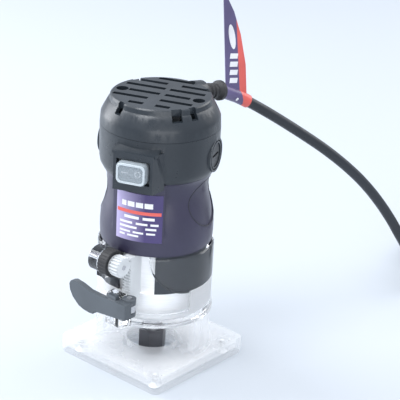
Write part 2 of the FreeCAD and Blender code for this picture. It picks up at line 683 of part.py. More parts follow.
def make_rear_cover():
    shell = turned("cover_shell", [
        ("Size.upper_radius - 3", "Size.seam_height + 0.2"),
        ("Size.upper_radius", "Size.seam_height + 0.2"),
        ("Size.upper_radius - 0.5", "Size.seam_height + 6.7"),
        ("Size.upper_radius - 1.8", "Size.seam_height + 9.6"),
        ("Size.cover_disc + 1.6", "Size.cover_top - 4.4"),
        ("Size.cover_disc + 0.5", "Size.cover_top - 3.6"),
        ("Size.cover_disc", "Size.cover_top - 0.8"),
        ("Size.cover_disc - 0.8", "Size.cover_top"),
        (0, "Size.cover_top"),
        (0, "Size.cover_top - 3"),
        ("Size.cover_disc - 3", "Size.cover_top - 3"),
        ("Size.upper_radius - 4", "Size.seam_height + 9"),
    ])
    tools = []
    for i, (low, high, back) in enumerate(VENTS):
        tools.append(box(f"vent{i}", (high - low, 3.8, 12), (low, back - 1.9, "Size.cover_top - 6")))
    for i, (angle, wide) in enumerate(((38, 6.5), (58, 4.5), (-29, 5), (128, 6), (-128, 6))):
        turn = math.radians(angle)
        window = box(f"shoulder_vent{i}", (wide, 14, 8.5), spin=angle)
        window.Placement.Base = Vector(44 * math.sin(turn) - wide / 2 * math.cos(turn),
                                       -44 * math.cos(turn) - wide / 2 * math.sin(turn),
                                       SIZES["seam_height"] + 12)
        tools.append(window)
    posts = []
    for side in (-1, 1):
        posts.append(cylinder(f"screw_post{side + 1}", 5.5, 14.5,
                              (side * 25.5, -2, "Size.cover_top - 17")))
        tools.append(cylinder(f"screw_sink{side + 1}", 3.9, 8,
                              (side * 25.5, -2, "Size.cover_top - 6")))
        tools.append(cylinder(f"screw_clear{side + 1}", 2.2, 30,
                              (side * 25.5, -2, "Size.cover_top - 24")))
    posts.append(gland_axis(cylinder("gland_boss", 7.8, 9), -8))
    tools.append(gland_axis(cylinder("gland_hole", 5.45, 20), -12))
    tools.append(gland_axis(cylinder("gland_flange_room", 6.05, 2.6), -10.7))
    hand_over(cut("rear_cover", fuse("cover_solid", [shell] + posts), tools), "rear_cover",
              motor=True)
    screws = []
    for side in (-1, 1):
        head = cylinder(f"cover_head{side + 1}", 3.6, 2.4, (side * 25.5, -2, "Size.cover_top - 6"))
        shank = cylinder(f"cover_shank{side + 1}", 1.9, 16,
                         (side * 25.5, -2, "Size.cover_top - 21.9"))
        solid = fuse(f"cover_screw_body{side + 1}", [head, shank])
        slot = [box(f"cover_slot{side + 1}", (4.6, 1.0, 1.4), (side * 25.5 - 2.3, -2.5,
                                                              "Size.cover_top - 5")),
                box(f"cover_cross{side + 1}", (1.0, 4.6, 1.4), (side * 25.5 - 0.5, -4.3,
                                                               "Size.cover_top - 5"))]
        screws.append(cut(f"cover_screw{side + 1}", solid, slot))
    hand_over(group("cover_screws", screws), "cover_screws", motor=True)


GLAND_START = Vector(13.0, 34.6, 173.4)
GLAND_WAY = Vector(9.8, 21.9, -3.6)
GLAND_LONG = 19.5


def gland_axis(thing, back=0.0):
    """Lay a turned piece along the gland's axis, starting a little back from its root."""
    way = Vector(GLAND_WAY).normalize()
    thing.Placement = Placement(GLAND_START + way * back, Rotation(Vector(0, 0, 1), way))
    return thing


def make_gland():
    """Ribbed strain relief that narrows from the cover to a flared end."""
    outline = [(3.65, -10.0), (5.9, -10.0), (5.9, -8.2), (5.4, -8.2), (5.4, 5.4)]
    ribs = 2
    for i in range(ribs):
        start = 6.6 + 3.6 * i
        radius = 5.4 - 0.18 * i
        outline += [(radius - 0.9, start - 0.6), (radius - 0.9, start + 0.4),
                    (radius, start + 0.8), (radius, start + 2.4)]
    outline += [(4.4, 14.0), (4.4, 15.2), (6.6, 17.0), (6.6, GLAND_LONG), (4.3, GLAND_LONG),
                (3.65, GLAND_LONG - 2.0)]
    gland = turned("cord_gland", outline)
    hand_over(gland_axis(gland), "cord_gland", motor=True)


# ---- inside the casing --------------------------------------------------------------------

def sector(name, inner, outer, low, tall, sweep, spin):
    """Part of a ring."""
    whole = cylinder(name + "_outer", outer, tall, (0, 0, low), sweep=sweep, spin=spin)
    hole = cylinder(name + "_inner", inner, f"{tall} + 10", (0, 0, f"{low} - 5"))
    return cut(name, whole, [hole])


def make_stator():
    ring = turned("stator_block", [(16.5, 97), (28.4, 97), (28.4, 128), (16.5, 128)])
    rooms = [sector(f"coil_room{i}", 16.0, 24.2, 95, 36, 70, spin)
             for i, spin in enumerate((-35, 145))]
    hand_over(cut("stator_core", ring, rooms), "stator_core", motor=True)
    coils = [sector(f"field_coil{i}", 17.0, 24.0, 91, 41.5, 66, spin)
             for i, spin in enumerate((-33, 147))]
    hand_over(group("field_coils", coils), "field_coils", motor=True)


def bearing(node, bore, outer, low, tall):
    """A shielded ball bearing, modelled as its rings with a groove each side."""
    middle = (bore + outer) / 2
    hand_over(turned(node, [
        (bore, low), (middle - 1.2, low), (middle - 1.2, low + 0.5), (middle + 1.2, low + 0.5),
        (middle + 1.2, low), (outer, low), (outer, low + tall), (middle + 1.2, low + tall),
        (middle + 1.2, low + tall - 0.5), (middle - 1.2, low + tall - 0.5),
        (middle - 1.2, low + tall), (bore, low + tall),
    ]), node, motor=True)


def make_bearings():
    bearing("lower_bearing", 4.05, 11.0, 43.0, 7.0)
    bearing("upper_bearing", 3.05, 9.5, 158.0, 6.0)
    plate = turned("retainer_plate", [(8.5, 50.0), (13.9, 50.0), (13.9, 51.5), (8.5, 51.5)])
    hand_over(plate, "bearing_retainer", motor=True)
    boss = turned("bridge_boss", [(9.5, 156.6), (12.5, 156.6), (12.5, 165), (7.5, 165),
                                  (7.5, 164), (9.5, 164)])
    arms = [box("bridge_arm_across", (69, 9, 4.4), (-34.5, -4.5, 156.6)),
            box("bridge_arm_along", (9, 56, 4.4), (-4.5, -22, 156.6))]
    holes = [cylinder("bridge_middle", 10, 20, (0, 0, 150))]
    holes += [cylinder(f"bridge_thread{side + 1}", 1.9, 20, (side * 25.5, -2, 150))
              for side in (-1, 1)]
    arms = cut("bridge_arms", fuse("bridge_arm_pair", arms), holes)
    hand_over(fuse("bearing_bridge", [boss, arms]), "bearing_bridge", motor=True)


def make_brushes():
    holders = []
    brushes = []
    caps = []
    z = "Size.brush_height"
    for side in (-1, 1):
        tag = side + 1
        start = 12.0 if side > 0 else -34.0
        tube = box(f"holder_block{tag}", (22, 9, 10), (start, -4.5, f"{z} - 5"))
        bore = box(f"holder_bore{tag}", (30, 6.2, 7.2), (start - 4, -3.1, f"{z} - 3.6"))
        holders.append(cut(f"holder{tag}", tube, [bore]))
        brush = box(f"brush{tag}", (13, 6, 7), (9.8 if side > 0 else -22.8, -3, f"{z} - 3.5"))
        brushes.append(brush)
        cap_start = 34.2 if side > 0 else -37.4
        disc = cylinder(f"cap_disc{tag}", 7.4, 3.2, (cap_start, 0, z), axis="X")
        slot_start = 36.2 if side > 0 else -38.2
        slot = box(f"cap_slot{tag}", (2, 10.5, 1.5), (slot_start, -5.25, f"{z} - 0.75"))
        caps.append(cut(f"cap{tag}", disc, [slot]))
    hand_over(group("brush_holders", holders), "brush_holders", motor=True)
    hand_over(group("carbon_brushes", brushes), "carbon_brushes", motor=True)
    hand_over(group("brush_caps", caps), "brush_caps", motor=True)

    turns = []
    for side in (-1, 1):
        helix = Part.makeHelix(1.9, 9.5, 2.0)
        rod = Part.Wire([Part.makeCircle(0.3, Vector(2.0, 0, 0), Vector(0, 1, 0))])
        coil = Part.Wire(helix.Edges).makePipeShell([rod], True, True)
        coil.Placement = Placement(Vector(side * 23.4, 0, SIZES["brush_height"]),
                                   Rotation(Vector(0, 0, 1), Vector(side, 0, 0)))
        turns.append(coil)
    springs = doc.addObject("Part::Feature", "brush_springs")
    springs.Shape = Part.Compound(turns)
    hand_over(springs, "brush_springs", motor=True)


def make_wiring():
    block = box("capacitor_block", (22, 8, 15), (-11, 22.5, 137))
    hand_over(rounded("capacitor", block, 1.2, upright), "capacitor", motor=True)
    bar = box("clamp_bar", (17, 4.5, 5), (1.5, 15.0, 166.0))
    hand_over(rounded("cord_clamp", bar, 1.2, upright), "cord_clamp", motor=True)


# ---- switch -------------------------------------------------------------------------------

def make_switch():
    z = "Size.switch_height"
    case = box("switch_case", (16, 14.5, 12), (-8, -40.3, f"{z} - 6"))
    flange = box("switch_flange", (20.6, 1.4, 14.2), (-10.3, -42.2, f"{z} - 7.1"))
    case = fuse("switch_solid", [case, flange, box("switch_front", (14, 3, 11), (-7, -42.2, f"{z} - 5.5"))])
    well = box("switch_well", (13.2, 4.6, 10.4), (-6.6, -43.5, f"{z} - 5.2"))
    seat = cylinder("pivot_seat", 1.1, 12.2, (0, -41, f"{z} - 6.1"))
    hand_over(cut("switch_body", case, [well, seat]), "switch_body", motor=True)

    rocker = padded("rocker_block", "XY_Plane", [
        (-6.0, -41.0), (-6.0, -43.2), (0.0, -42.3), (6.0, -43.2), (6.0, -41.0), (2.0, -39.6),
        (-2.0, -39.6),
    ], 9.6)
    tilt = Placement(Vector(), Rotation(Vector(0, 0, 1), -7), Vector(0, -41.0, 0))
    rocker.Placement = tilt.multiply(Placement(Vector(0, 0, SIZES["switch_height"] - 4.8), Rotation()))
    pivot = cylinder("rocker_pivot", 1.0, 11.6, (0, -41, f"{z} - 5.8"))
    hand_over(fuse("rocker_solid", [rocker, pivot]), "rocker", motor=True)

    outer = box("boot_block", (19.4, 5.6, 13.8), (-9.7, -47.8, f"{z} - 6.9"))
    outer = rounded("boot_round", outer, 3.2, lambda e: abs(e.Vertexes[0].X - e.Vertexes[1].X) < 1e-6
                    and abs(e.Vertexes[0].Z - e.Vertexes[1].Z) < 1e-6)
    inner = box("boot_room", (16.6, 4.7, 11.2), (-8.3, -46.9, f"{z} - 5.6"))
    hand_over(cut("switch_boot", outer, [inner]), "switch_boot", motor=True)


# ---- what turns with the spindle ----------------------------------------------------------

def make_spindle():
    shaft = turned("shaft_solid", [
        (0, 22.7), (4.6, 22.7), (6.0, 11.2), (6.0, 34), (7.4, 36), (7.4, 42.8),
        ("Size.spindle_radius", 42.8), ("Size.spindle_radius", 90), (4.4, 90), (4.4, 138), (3.4, 138),
        (3.4, 156), (3.0, 156), (3.0, 165), (0, 165),
    ])
    hand_over(shaft, "armature_shaft")

    rotor = turned("rotor_block", [
        (4.4, 98), ("Size.rotor_radius", 98), ("Size.rotor_radius", 127), (4.4, 127),
    ])
    slots = []
    for i in range(12):
        slots.append(box(f"rotor_slot{i}", (1.8, 9, 40), spin=30 * i))
        turn = math.radians(30 * i)
        slots[-1].Placement.Base = Vector(-0.9 * math.cos(turn) - 8.5 * math.sin(turn),
                                          -0.9 * math.sin(turn) + 8.5 * math.cos(turn), 92)
    hand_over(cut("rotor_core", rotor, slots), "rotor_core")

    ends = [
        turned("winding_low", [(4.4, 91.5), (11, 90.5), (15, 93.5), (15, 98), (4.4, 98)]),
        turned("winding_high", [(4.4, 127), (15, 127), (15, 131.5), (11, 135), (4.4, 135)]),
    ]
    hand_over(group("rotor_windings", ends), "rotor_windings")

    copper = turned("commutator_block", [
        (3.4, 138), ("Size.commutator_radius + 1", 138), ("Size.commutator_radius + 1", 140.5),
        ("Size.commutator_radius", 140.5), ("Size.commutator_radius", 154), (3.4, 154),
    ])
    gaps = []
    for i in range(24):
        turn = math.radians(15 * i)
        gaps.append(box(f"bar_gap{i}", (0.5, 3, 20), spin=15 * i))
        gaps[-1].Placement.Base = Vector(-0.25 * math.cos(turn) - 8.3 * math.sin(turn),
                                         -0.25 * math.sin(turn) + 8.3 * math.cos(turn), 140.5)
    hand_over(cut("commutator", copper, gaps), "commutator")

    disc = turned("fan_disc", [("Size.spindle_radius", 72), (7, 72), (7, 76), (26.5, 76), (26.5, 77.5),
                               (7, 77.5), (7, 84), ("Size.spindle_radius", 84)])
    blades = []
    for i in range(11):
        angle = 360 / 11 * i
        turn = math.radians(angle)
        blades.append(box(f"fan_blade{i}", (16, 1.4, 7), spin=angle + 25))
        blades[-1].Placement.Base = Vector(10.5 * math.cos(turn), 10.5 * math.sin(turn), 77)
    hand_over(fuse("fan", [disc] + blades), "fan")


def make_collet():
    sleeve = turned("collet_block", [
        ("Size.collet_bore", 3.7), (4.2, 3.7), (5.5, 7.7), (5.5, 10.7), (4.4, 22.2),
        ("Size.collet_bore", 22.2),
    ])
    slits = []
    for i in range(3):
        turn = math.radians(120 * i)
        slits.append(box(f"collet_slit{i}", (0.7, 5, 13), spin=120 * i))
        slits[-1].Placement.Base = Vector(-0.35 * math.cos(turn) - 2.0 * math.sin(turn),
                                          -0.35 * math.sin(turn) + 2.0 * math.cos(turn), 2.7)
    hand_over(cut("collet", sleeve, slits), "collet")

    nut = hexagon("collet_nut_block", "Size.nut_flats", "Size.nut_tall", (0, 0, "Size.nut_low"))
    corners = turned("nut_chamfer", [
        (0, "Size.nut_low"), (8.0, "Size.nut_low"), (9.3, "Size.nut_low + 1.2"),
        (9.3, "Size.nut_low + Size.nut_tall - 1.2"), (8.0, "Size.nut_low + Size.nut_tall"),
        (0, "Size.nut_low + Size.nut_tall"),
    ])
    body = doc.addObject("Part::MultiCommon", "nut_common")
    body.Shapes = [nut, corners]
    room = turned("nut_room", [
        (0, "Size.nut_low - 1"), (4.3, "Size.nut_low - 1"), (4.3, 3.7), (5.6, 7.7), (5.6, 11.1),
        (6.05, 11.1), (6.05, "Size.nut_low + Size.nut_tall + 1"),
        (0, "Size.nut_low + Size.nut_tall + 1"),
    ])
    hand_over(cut("collet_nut", body, [room]), "collet_nut")


# ---- cord -----------------------------------------------------------------------------------

# Centre line of the cord from the strain relief to the coil, chosen by hand.
ROUTE = (
    (0.7, 56.2, 170.5),
    (2.4, 72.6, 162.9),
    (9.0, 91.0, 151.4),
    (20.8, 115.5, 133.4),
    (34.0, 140.6, 113.2),
    (46.4, 163.4, 90.2),
    (55.8, 182.6, 64.0),
    (62.4, 196.4, 39.6),
    (68.4, 207.4, 20.6),
    (74.0, 217.6, 9.4),
    (78.9, 226.5, 3.8),
    (83.4, 234.7, 3.8),
)
STUB = 25.0
COIL_TALL = 29.2
COIL_LOOSE = 0.4
PLUG_TURN = -121.0
PLUG_RISE = 15.0
PLUG_BACK = 12.8
PLUG_ASIDE = 16.0


def tube_along(points, radius):
    """A tube on straight runs joined by tangent arcs, and the length of its centre line."""
    places = [Vector(*p) for p in points]
    edges = []
    here = places[0]
    for before, point, after in zip(places, places[1:], places[2:]):
        into = (point - before)
        away = (after - point)
        shorter = min(into.Length, away.Length)
        into = Vector(into).normalize()
        away = Vector(away).normalize()
        turn = into.getAngle(away)
        arc_radius = 0.45 * shorter / math.tan(turn / 2)
        reach = 0.45 * shorter
        first = point - into * reach
        last = point + away * reach
        centre = point + Vector(away - into).normalize() * (arc_radius / math.cos(turn / 2))
        middle = centre + Vector(point - centre).normalize() * arc_radius
        edges.append(Part.LineSegment(here, first).toShape())
        edges.append(Part.Arc(first, middle, last).toShape())
        here = last
        print(f"cord arc radius {arc_radius:.0f} mm, turn {math.degrees(turn):.0f} degrees")
    edges.append(Part.LineSegment(here, places[-1]).toShape())
    path = Part.Wire(edges)
    start = Vector(places[1] - places[0]).normalize()
    section = Part.Wire([Part.makeCircle(radius, places[0], start)])
    return path.makePipeShell([section], True, False), path.Length


def make_cord():
    radius = SIZES["cord_diameter"] / 2
    tube, length = tube_along(ROUTE, radius)
    print(f"cord tube {length:.0f} mm, volume ratio {tube.Volume / (math.pi * radius ** 2 * length):.4f}")
    lead = doc.addObject("Part::Feature", "cord_lead")
    lead.Shape = tube
    hand_over(lead, "cord_lead")


def make_coil():
    """Outer shape of the put-away coil, with the stubs where the lead and the plug join it."""
    diameter = SIZES["cord_diameter"]
    mean = SIZES["coil_radius"]
    inner = mean - diameter - COIL_LOOSE
    outer = mean + diameter + COIL_LOOSE
    end = Vector(*ROUTE[-1])
    way = Vector(end - Vector(*ROUTE[-2])).normalize()
    side = Vector(-way.y, way.x, 0)
    centre = end + way * STUB + side * (mean + diameter / 2)
    centre.z = 0
    ring = Part.makeCylinder(outer, COIL_TALL, centre)
    ring = ring.cut(Part.makeCylinder(inner, COIL_TALL, centre))
    arriving = Part.makeCylinder(diameter / 2, STUB, end, way)
    # The far end rises out of the ring towards the plug, which lies across the ring.
    level = Rotation(Vector(0, 0, 1), PLUG_TURN).multVec(way)
    beside = Vector(-level.y, level.x, 0)
    rise = math.radians(PLUG_RISE)
    along = level * math.cos(rise) + Vector(0, 0, math.sin(rise))
    tail_end = centre - level * PLUG_BACK - beside * PLUG_ASIDE
    tail_end.z = COIL_TALL + 3.6
    leaving = Part.makeCylinder(diameter / 2, 14, tail_end - along * 14, along)
    coil = doc.addObject("Part::Feature", "cord_coil")
    coil.Shape = ring.fuse([arriving, leaving]).removeSplitter()
    hand_over(coil, "cord_coil")

    wide = outer - inner
    wrap = Part.makeBox(wide + 3.2, 9, COIL_TALL + 1.4, Vector(inner - 1.6, -4.5, 0))
    hole = Part.makeBox(wide + 1.2, 9, COIL_TALL + 0.2, Vector(inner - 0.6, -4.5, 0))
    tie = doc.addObject("Part::Feature", "coil_tie")
    tie.Shape = wrap.cut(hole)
    tie.Placement = Placement(centre, Rotation(Vector(0, 0, 1), math.degrees(math.atan2(way.y, way.x))))
    hand_over(tie, "coil_tie")
    return tail_end, beside, along


def make_plug(tail_end, beside, along):
    """Moulded two-pin plug lying on the coil, tipped up a little towards its pins."""
    frame = Placement(tail_end, Rotation(beside, along.cross(beside), along, "ZXY"))
    body = turned("plug_turned", [
        (0, 0), (3.6, 0), (4.0, 8), (5.2, 16), (8.5, 22), (10.8, 30), (11.6, 36), (11.6, 44),
        (10.6, 45.5), (0, 45.5),
    ])
    body.Placement = frame
    hand_over(body, "plug_body")
    pins = []
    for i, offset in enumerate((-9.5, 9.5)):
        pin = turned(f"plug_pin{i}", [(0, 45.5), (2.4, 45.5), (2.4, 63.3), (1.4, 64.5), (0, 64.5)])
        pin.Placement = frame.multiply(Placement(Vector(offset, 0, 0), Rotation()))
        pins.append(pin)
    hand_over(group("plug_pins", pins), "plug_pins")


# Outline of the tag's tail: along the cord, and up.
TAG_TAIL = (
    (2.9, 1.8), (15.4, -3.6), (20.9, -6.9), (20.8, -4.8), (18.6, 15.2), (12.9, 36.4),
    (6.2, 52.7), (0.1, 62.8), (-2.0, 67.0), (-3.0, 67.0), (-2.8, 62.0),
)


def make_tag():
    """Strip folded round the cord just past the strain relief, its tail standing up."""
    bend = Vector(*ROUTE[1])
    start = Vector(*ROUTE[0])
    start += Vector(bend - start).normalize() * 1.8
    end = bend + Vector(Vector(*ROUTE[2]) - bend).normalize() * 8.7
    radius = SIZES["cord_diameter"] / 2
    sleeve = tube_along([tuple(start), tuple(bend), tuple(end)], radius + 0.9)[0]
    along = Vector(end.x - start.x, end.y - start.y, 0).normalize()
    across = Vector(-along.y, along.x, 0)
    outline = [start + along * u + Vector(0, 0, h) - across * 0.35 for u, h in TAG_TAIL]
    tail = Part.Face(Part.makePolygon(outline + outline[:1])).extrude(across * 0.7)
    strip = sleeve.fuse(tail).cut(tube_along(ROUTE, radius)[0])
    tag = doc.addObject("Part::Feature", "cord_tag")
    tag.Shape = strip.removeSplitter()
    hand_over(tag, "cord_tag")


make_base()
make_sole()
make_clamp()
make_depth_wheel()
make_rack()
make_nose()
make_motor_housing()
make_switch_housing()
make_rear_cover()
make_gland()
make_stator()
make_bearings()
make_brushes()
make_wiring()
make_switch()
make_spindle()
make_collet()
make_cord()
make_plug(*make_coil())
make_tag()
doc.recompute()

failed = [thing.Name for thing in doc.Objects if {"Invalid", "Error"} & set(thing.State)]
if failed:
    raise RuntimeError(f"these objects failed: {failed}")
for thing in parts:
    if thing.Shape.isNull() or not thing.Shape.isValid() or not thing.Shape.Solids:
        raise RuntimeError(f"{thing.Label} has no valid solid")

os.makedirs("parts", exist_ok=True)
for thing in parts:
    thing.Shape.exportStep(f"parts/{thing.Label}.step")
print(f"{len(parts)} nodes written")
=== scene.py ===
import json
import math

import bmesh
import bpy
from mathutils import Matrix, Vector

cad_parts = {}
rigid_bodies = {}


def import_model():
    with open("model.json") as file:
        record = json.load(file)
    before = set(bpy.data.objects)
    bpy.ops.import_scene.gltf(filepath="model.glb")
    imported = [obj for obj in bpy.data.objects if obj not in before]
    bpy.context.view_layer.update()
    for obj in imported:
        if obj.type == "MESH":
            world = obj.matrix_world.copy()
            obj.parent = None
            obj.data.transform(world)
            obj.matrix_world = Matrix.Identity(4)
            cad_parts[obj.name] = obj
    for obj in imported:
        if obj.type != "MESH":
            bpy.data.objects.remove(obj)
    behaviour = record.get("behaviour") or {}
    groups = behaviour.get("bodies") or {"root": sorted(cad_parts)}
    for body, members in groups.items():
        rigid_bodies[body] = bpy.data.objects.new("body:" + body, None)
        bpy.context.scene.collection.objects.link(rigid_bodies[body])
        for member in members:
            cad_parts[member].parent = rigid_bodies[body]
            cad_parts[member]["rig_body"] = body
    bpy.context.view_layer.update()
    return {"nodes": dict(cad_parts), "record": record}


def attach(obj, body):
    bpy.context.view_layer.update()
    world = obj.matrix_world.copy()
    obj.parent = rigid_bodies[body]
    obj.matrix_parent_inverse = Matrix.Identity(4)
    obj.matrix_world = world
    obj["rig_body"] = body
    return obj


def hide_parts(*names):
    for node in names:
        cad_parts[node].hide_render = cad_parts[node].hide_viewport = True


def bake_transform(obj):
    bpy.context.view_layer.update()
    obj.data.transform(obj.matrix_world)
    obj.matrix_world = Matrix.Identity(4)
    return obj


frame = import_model()
MM = 0.001
UP = Vector((0, 0, 1))
MOTOR_TURN = math.radians(21.1)   # the motor casing is turned this far about Z

# ---- camera ---------------------------------------------------------------------------------

CAMERA_PLACE = Vector((0.6219, -0.6964, 0.5094))
CAMERA_TARGET = Vector((0.02075, 0.01747, 0.11059))
CAMERA_ROLL = math.radians(2.874)
CAMERA_LENS = 142.94
SENSOR = 36.0


def add_camera():
    """The camera looks down at the trimmer's front right, rolled a little."""
    ahead = (CAMERA_TARGET - CAMERA_PLACE).normalized()
    level = ahead.cross(Vector((0, 0, 1))).normalized()
    lift = level.cross(ahead)
    right = level * math.cos(CAMERA_ROLL) + lift * math.sin(CAMERA_ROLL)
    up = right.cross(ahead)
    data = bpy.data.cameras.new("camera")
    data.lens = CAMERA_LENS
    data.sensor_width = SENSOR
    data.clip_end = 20
    camera = bpy.data.objects.new("camera", data)
    turn = Matrix((right, up, -ahead)).transposed()
    camera.matrix_world = Matrix.Translation(CAMERA_PLACE) @ turn.to_4x4()
    bpy.context.collection.objects.link(camera)
    bpy.context.scene.camera = camera


# ---- materials -------------------------------------------------------------------------------

# Scales of the noise, in cycles a metre, and heights of the bumps, in metres.
DRIFT_SCALE = 28
GLOSS_SCALE = 90
CLEAR_FLOW_SCALE = 45
CLEAR_GLOSS_SCALE = 35
CLEAR_WAVE_SCALE = 60
TURNED_SCALE = 60
TURNED_STRETCH = (1, 1, 40)
GRAIN_HEIGHT = 0.00006
TURNED_HEIGHT = 0.00005
CLEAR_WAVE_HEIGHT = 0.0001
SLEEVE_WAVE_HEIGHT = 0.0003
WIRE_HEIGHT = 0.0003
SLEEVE_IOR = 1.33
# The label's painted reflection, paler to the left, fades out between these places across the
# front, in metres from the motor's axis.
GLARE_FROM, GLARE_TO = -0.0150, 0.0060


def new_material(name):
    material = bpy.data.materials.new(name)
    material.use_nodes = True
    tree = material.node_tree
    shader = tree.nodes["Principled BSDF"]
    return material, tree, shader


def object_coords(tree, scale=(1, 1, 1)):
    """Object coordinates, which are metres in the row frame."""
    coords = tree.nodes.new("ShaderNodeTexCoord")
    mapping = tree.nodes.new("ShaderNodeMapping")
    mapping.inputs["Scale"].default_value = scale
    tree.links.new(coords.outputs["Object"], mapping.inputs["Vector"])
    return mapping.outputs["Vector"]


def noise(tree, vector, scale, detail=3.0, rough=0.55):
    made = tree.nodes.new("ShaderNodeTexNoise")
    made.inputs["Scale"].default_value = scale
    made.inputs["Detail"].default_value = detail
    made.inputs["Roughness"].default_value = rough
    tree.links.new(vector, made.inputs["Vector"])
    return made.outputs["Fac"]


def ramp(tree, value, low, high, start=0.35, end=0.65):
    """Colours or greys from low to high as value goes from start to end."""
    made = tree.nodes.new("ShaderNodeValToRGB")
    made.color_ramp.elements[0].position = start
    made.color_ramp.elements[1].position = end
    made.color_ramp.elements[0].color = grey(low)
    made.color_ramp.elements[1].color = grey(high)
    tree.links.new(value, made.inputs["Fac"])
    return made.outputs["Color"]


def grey(tone):
    if isinstance(tone, (int, float)):
        return (tone, tone, tone, 1)
    return (*tone, 1)


def bump(tree, shader, height, strength, distance):
    made = tree.nodes.new("ShaderNodeBump")
    made.inputs["Strength"].default_value = strength
    made.inputs["Distance"].default_value = distance
    tree.links.new(height, made.inputs["Height"])
    tree.links.new(made.outputs["Normal"], shader.inputs["Normal"])


def tint(colour, factor):
    return tuple(min(1.0, c * factor) for c in colour)


def moulded(name, colour, rough, grain=2600, depth=0.35, spread=0.12):
    """Moulded plastic or rubber: eroded-tool grain, slow drift of tone and gloss."""
    material, tree, shader = new_material(name)
    at = object_coords(tree)
    drift = noise(tree, at, DRIFT_SCALE, 4)
    fine = noise(tree, at, grain, 2)
    tree.links.new(ramp(tree, drift, tint(colour, 1 - spread), tint(colour, 1 + spread)),
                   shader.inputs["Base Color"])
    tree.links.new(ramp(tree, noise(tree, at, GLOSS_SCALE, 5), rough[0], rough[1]),
                   shader.inputs["Roughness"])
    bump(tree, shader, fine, depth, GRAIN_HEIGHT)
    shader.inputs["Specular IOR Level"].default_value = 0.5
    return material


def metal(name, colour, rough=(0.22, 0.38)):
    """Turned or drawn metal: fine lines round the Z axis."""
    material, tree, shader = new_material(name)
    lines = noise(tree, object_coords(tree, TURNED_STRETCH), TURNED_SCALE, 4, 0.7)
    tree.links.new(ramp(tree, lines, rough[0], rough[1]), shader.inputs["Roughness"])
    tree.links.new(ramp(tree, lines, tint(colour, 0.92), colour), shader.inputs["Base Color"])
    shader.inputs["Metallic"].default_value = 1.0
    bump(tree, shader, lines, 0.15, TURNED_HEIGHT)
    return material


def clear(name, colour=(0.97, 0.985, 1.0), low=0.09, high=0.58, rough=(0.05, 0.14)):
    """Water-clear moulding: see-through face on, paler and glossier towards its edges."""
    material, tree, shader = new_material(name)
    at = object_coords(tree)
    edge = tree.nodes.new("ShaderNodeLayerWeight")
    edge.inputs["Blend"].default_value = 0.35
    flow = noise(tree, at, CLEAR_FLOW_SCALE, 4)
    strength = tree.nodes.new("ShaderNodeMapRange")
    strength.inputs["To Min"].default_value = low
    strength.inputs["To Max"].default_value = high
    tree.links.new(edge.outputs["Facing"], strength.inputs["Value"])
    haze = tree.nodes.new("ShaderNodeMath")
    haze.operation = "MULTIPLY"
    tree.links.new(strength.outputs["Result"], haze.inputs[0])
    tree.links.new(ramp(tree, flow, 0.94, 1.06), haze.inputs[1])
    tree.links.new(haze.outputs["Value"], shader.inputs["Alpha"])
    tree.links.new(ramp(tree, flow, colour, tint(colour, 1.04)), shader.inputs["Base Color"])
    tree.links.new(ramp(tree, noise(tree, at, CLEAR_GLOSS_SCALE, 4), rough[0], rough[1]),
                   shader.inputs["Roughness"])
    shader.inputs["Specular IOR Level"].default_value = 0.9
    bump(tree, shader, noise(tree, at, CLEAR_WAVE_SCALE, 2), 0.10, CLEAR_WAVE_HEIGHT)
    return material


def glassy(name):
    """The sleeve's thick clear wall: it bends light enough to fill out to its edge."""
    material, tree, shader = new_material(name)
    at = object_coords(tree)
    shader.inputs["Transmission Weight"].default_value = 1.0
    shader.inputs["IOR"].default_value = SLEEVE_IOR
    shader.inputs["Base Color"].default_value = (1, 1, 1, 1)
    shader.inputs["Coat Weight"].default_value = 0.5
    tree.links.new(ramp(tree, noise(tree, at, CLEAR_GLOSS_SCALE, 4), 0.01, 0.05),
                   shader.inputs["Roughness"])
    bump(tree, shader, noise(tree, at, CLEAR_WAVE_SCALE, 2), 0.10, SLEEVE_WAVE_HEIGHT)
    return material


def label_foil(name, dark, pale):
    """Printed foil with a painted reflection that pales it towards its left edge."""
    material = moulded(name, dark, (0.20, 0.28), 900, 0.1)
    tree = material.node_tree
    shader = tree.nodes["Principled BSDF"]
    turn = tree.nodes.new("ShaderNodeVectorRotate")
    turn.rotation_type = "Z_AXIS"
    turn.inputs["Angle"].default_value = -MOTOR_TURN
    tree.links.new(object_coords(tree), turn.inputs["Vector"])
    parts = tree.nodes.new("ShaderNodeSeparateXYZ")
    tree.links.new(turn.outputs["Vector"], parts.inputs["Vector"])
    across = tree.nodes.new("ShaderNodeMapRange")
    across.inputs["From Min"].default_value = GLARE_FROM
    across.inputs["From Max"].default_value = GLARE_TO
    tree.links.new(parts.outputs["X"], across.inputs["Value"])
    # Painted reflection: the foil's colour turns paler towards the label's left edge.
    fade = ramp(tree, across.outputs["Result"], pale, dark, 0.0, 1.0)
    tree.links.new(fade, shader.inputs["Base Color"])
    return material


def wound(name, colour, turns=900):
    """Enamelled wire: fine parallel ridges."""
    material, tree, shader = new_material(name)
    at = object_coords(tree)
    wave = tree.nodes.new("ShaderNodeTexWave")
    wave.bands_direction = "Z"
    wave.inputs["Scale"].default_value = turns
    wave.inputs["Distortion"].default_value = 1.5
    tree.links.new(at, wave.inputs["Vector"])
    tree.links.new(ramp(tree, wave.outputs["Fac"], tint(colour, 0.6), colour, 0.2, 0.8),
                   shader.inputs["Base Color"])
    shader.inputs["Roughness"].default_value = 0.35
    bump(tree, shader, wave.outputs["Fac"], 0.6, WIRE_HEIGHT)
    return material


def laminated(name):
    """A stack of steel sheets, seen as fine bands along Z."""
    material = wound(name, (0.32, 0.32, 0.34), 700)
    material.node_tree.nodes["Principled BSDF"].inputs["Metallic"].default_value = 0.9
    return material


